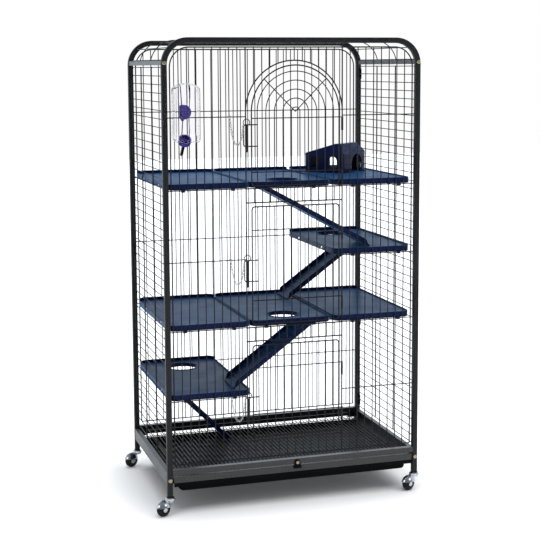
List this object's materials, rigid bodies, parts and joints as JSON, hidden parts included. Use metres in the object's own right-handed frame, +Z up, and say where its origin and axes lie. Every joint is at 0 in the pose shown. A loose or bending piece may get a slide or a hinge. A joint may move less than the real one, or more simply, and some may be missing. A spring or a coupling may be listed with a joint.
{
  "type": "ferret_cage",
  "caption": "Tall wire cage on casters for ferrets, with a tube frame, three front doors, plastic shelves joined by ramps, a slide-out grille and waste tray, a hut and an outside water bottle.",
  "frame": {"origin": "The middle of the object's bounding box in plan, on the floor under the caster wheels", "axes": "+X to the right along the front, +Y from the front to the back, +Z up"},
  "size_m": [0.8318, 0.575, 1.384],
  "materials": {
    "hammertone": "satin",
    "light_grey_steel": "satin",
    "grey_wire": "satin",
    "brass": "polished",
    "black_plastic": "matte",
    "chain_steel": "satin",
    "navy_plastic": "gloss",
    "chrome": "polished",
    "wheel_black": "satin",
    "clear_plastic": "gloss",
    "violet_plastic": "gloss"
  },
  "bodies": {
    "cage": {"front_frame": "hammertone", "rear_frame": "hammertone", "top_rails": "light_grey_steel", "left_runner": "light_grey_steel", "right_runner": "light_grey_steel", "front_crossbar": "hammertone", "rear_crossbar": "hammertone", "frame_screws": "brass", "panel_hooks": "black_plastic", "leg_plugs": "black_plastic", "front_panel_left": "grey_wire", "front_panel_right": "grey_wire", "front_panel_header": "grey_wire", "front_panel_bridges": "grey_wire", "back_panel": "grey_wire", "left_panel": "grey_wire", "right_panel": "grey_wire", "roof_panel": "grey_wire", "latch_barrels": "hammertone", "latch_chain_top": "chain_steel", "latch_chain_middle": "chain_steel", "latch_chain_lower": "chain_steel", "shelf_top_left": "navy_plastic", "shelf_top_centre": "navy_plastic", "shelf_top_right": "navy_plastic", "shelf_upper_right": "navy_plastic", "shelf_middle_left": "navy_plastic", "shelf_middle_centre": "navy_plastic", "shelf_middle_right": "navy_plastic", "shelf_lower_left": "navy_plastic", "bottle_clip": "violet_plastic"},
    "top_door": {"top_door": "grey_wire", "top_door_clips": "hammertone"},
    "middle_door": {"middle_door": "grey_wire", "middle_door_clips": "hammertone"},
    "lower_door": {"lower_door": "grey_wire", "lower_door_clips": "hammertone"},
    "top_pin": {"latch_pin_top": "hammertone"},
    "middle_pin": {"latch_pin_middle": "hammertone"},
    "lower_pin": {"latch_pin_lower": "hammertone"},
    "top_ramp": {"ramp_top": "navy_plastic"},
    "upper_ramp": {"ramp_upper": "navy_plastic"},
    "middle_ramp": {"ramp_middle": "navy_plastic"},
    "lower_ramp": {"ramp_lower": "navy_plastic"},
    "hut": {"hideaway": "navy_plastic"},
    "grille": {"floor_grille": "grey_wire"},
    "tray": {"waste_tray": "black_plastic"},
    "button": {"turn_button": "black_plastic"},
    "bottle": {"bottle_body": "clear_plastic", "bottle_cap": "violet_plastic", "sipper_tube": "black_plastic"},
    "fork_front_left": {"caster_fork_front_left": "chrome"},
    "wheel_front_left": {"caster_wheel_front_left": "wheel_black"},
    "fork_front_right": {"caster_fork_front_right": "chrome"},
    "wheel_front_right": {"caster_wheel_front_right": "wheel_black"},
    "fork_rear_left": {"caster_fork_rear_left": "chrome"},
    "wheel_rear_left": {"caster_wheel_rear_left": "wheel_black"},
    "fork_rear_right": {"caster_fork_rear_right": "chrome"},
    "wheel_rear_right": {"caster_wheel_rear_right": "wheel_black"}
  },
  "joints": [
    {"name": "top_door_hinge", "type": "hinge", "parent": "cage", "child": "top_door", "pos_m": [0.163, -0.2195, 1.15], "axis": [0, 0, 1], "range_deg": [0, 165]},
    {"name": "middle_door_hinge", "type": "hinge", "parent": "cage", "child": "middle_door", "pos_m": [0.163, -0.2195, 0.724], "axis": [0, 0, 1], "range_deg": [0, 165]},
    {"name": "lower_door_hinge", "type": "hinge", "parent": "cage", "child": "lower_door", "pos_m": [0.163, -0.2195, 0.348], "axis": [0, 0, 1], "range_deg": [0, 165]},
    {"name": "top_pin_lift", "type": "slide", "parent": "cage", "child": "top_pin", "axis": [0, 0, 1], "range_m": [0, 0.085], "deforming": ["latch_chain_top"]},
    {"name": "middle_pin_lift", "type": "slide", "parent": "cage", "child": "middle_pin", "axis": [0, 0, 1], "range_m": [0, 0.085], "deforming": ["latch_chain_middle"]},
    {"name": "lower_pin_lift", "type": "slide", "parent": "cage", "child": "lower_pin", "axis": [0, 0, 1], "range_m": [0, 0.085], "deforming": ["latch_chain_lower"]},
    {"name": "top_ramp_hinge", "type": "hinge", "parent": "cage", "child": "top_ramp", "pos_m": [-0.0846, -0.1255, 0.9535], "axis": [0, -1, 0], "range_deg": [0, 8]},
    {"name": "upper_ramp_hinge", "type": "hinge", "parent": "cage", "child": "upper_ramp", "pos_m": [0.3549, 0.1505, 0.7465], "axis": [0, 1, 0], "range_deg": [0, 8]},
    {"name": "middle_ramp_hinge", "type": "hinge", "parent": "cage", "child": "middle_ramp", "pos_m": [0.0994, -0.1255, 0.5445], "axis": [0, 1, 0], "range_deg": [0, 8]},
    {"name": "lower_ramp_hinge", "type": "hinge", "parent": "cage", "child": "lower_ramp", "pos_m": [-0.3345, 0.1505, 0.3385], "axis": [0, -1, 0], "range_deg": [0, 8]},
    {"name": "hut_lift", "type": "slide", "parent": "cage", "child": "hut", "axis": [0, 0, 1], "range_m": [0, 0.12]},
    {"name": "grille_slide", "type": "slide", "parent": "cage", "child": "grille", "axis": [0, -1, 0], "range_m": [0, 0.45]},
    {"name": "tray_slide", "type": "slide", "parent": "cage", "child": "tray", "axis": [0, -1, 0], "range_m": [0, 0.45]},
    {"name": "button_turn", "type": "hinge", "parent": "cage", "child": "button", "pos_m": [0.0184, -0.23, 0.124], "axis": [0, -1, 0], "range_deg": [0, 90]},
    {"name": "bottle_lift", "type": "slide", "parent": "cage", "child": "bottle", "axis": [0, 0, 1], "range_m": [0, 0.03]},
    {"name": "swivel_front_left", "type": "hinge", "parent": "cage", "child": "fork_front_left", "pos_m": [-0.3701, -0.2195, 0.06], "axis": [0, 0, 1], "continuous": true},
    {"name": "roll_front_left", "type": "hinge", "parent": "fork_front_left", "child": "wheel_front_left", "pos_m": [-0.39171, -0.22737, 0.022], "axis": [-0.342, 0.9397, 0], "continuous": true},
    {"name": "swivel_front_right", "type": "hinge", "parent": "cage", "child": "fork_front_right", "pos_m": [0.4009, -0.2195, 0.06], "axis": [0, 0, 1], "continuous": true},
    {"name": "roll_front_right", "type": "hinge", "parent": "fork_front_right", "child": "wheel_front_right", "pos_m": [0.37929, -0.22737, 0.022], "axis": [-0.342, 0.9397, 0], "continuous": true},
    {"name": "swivel_rear_left", "type": "hinge", "parent": "cage", "child": "fork_rear_left", "pos_m": [-0.3701, 0.2725, 0.06], "axis": [0, 0, 1], "continuous": true},
    {"name": "roll_rear_left", "type": "hinge", "parent": "fork_rear_left", "child": "wheel_rear_left", "pos_m": [-0.39171, 0.26463, 0.022], "axis": [-0.342, 0.9397, 0], "continuous": true},
    {"name": "swivel_rear_right", "type": "hinge", "parent": "cage", "child": "fork_rear_right", "pos_m": [0.4009, 0.2725, 0.06], "axis": [0, 0, 1], "continuous": true},
    {"name": "roll_rear_right", "type": "hinge", "parent": "fork_rear_right", "child": "wheel_rear_right", "pos_m": [0.37929, 0.26463, 0.022], "axis": [-0.342, 0.9397, 0], "continuous": true}
  ]
}
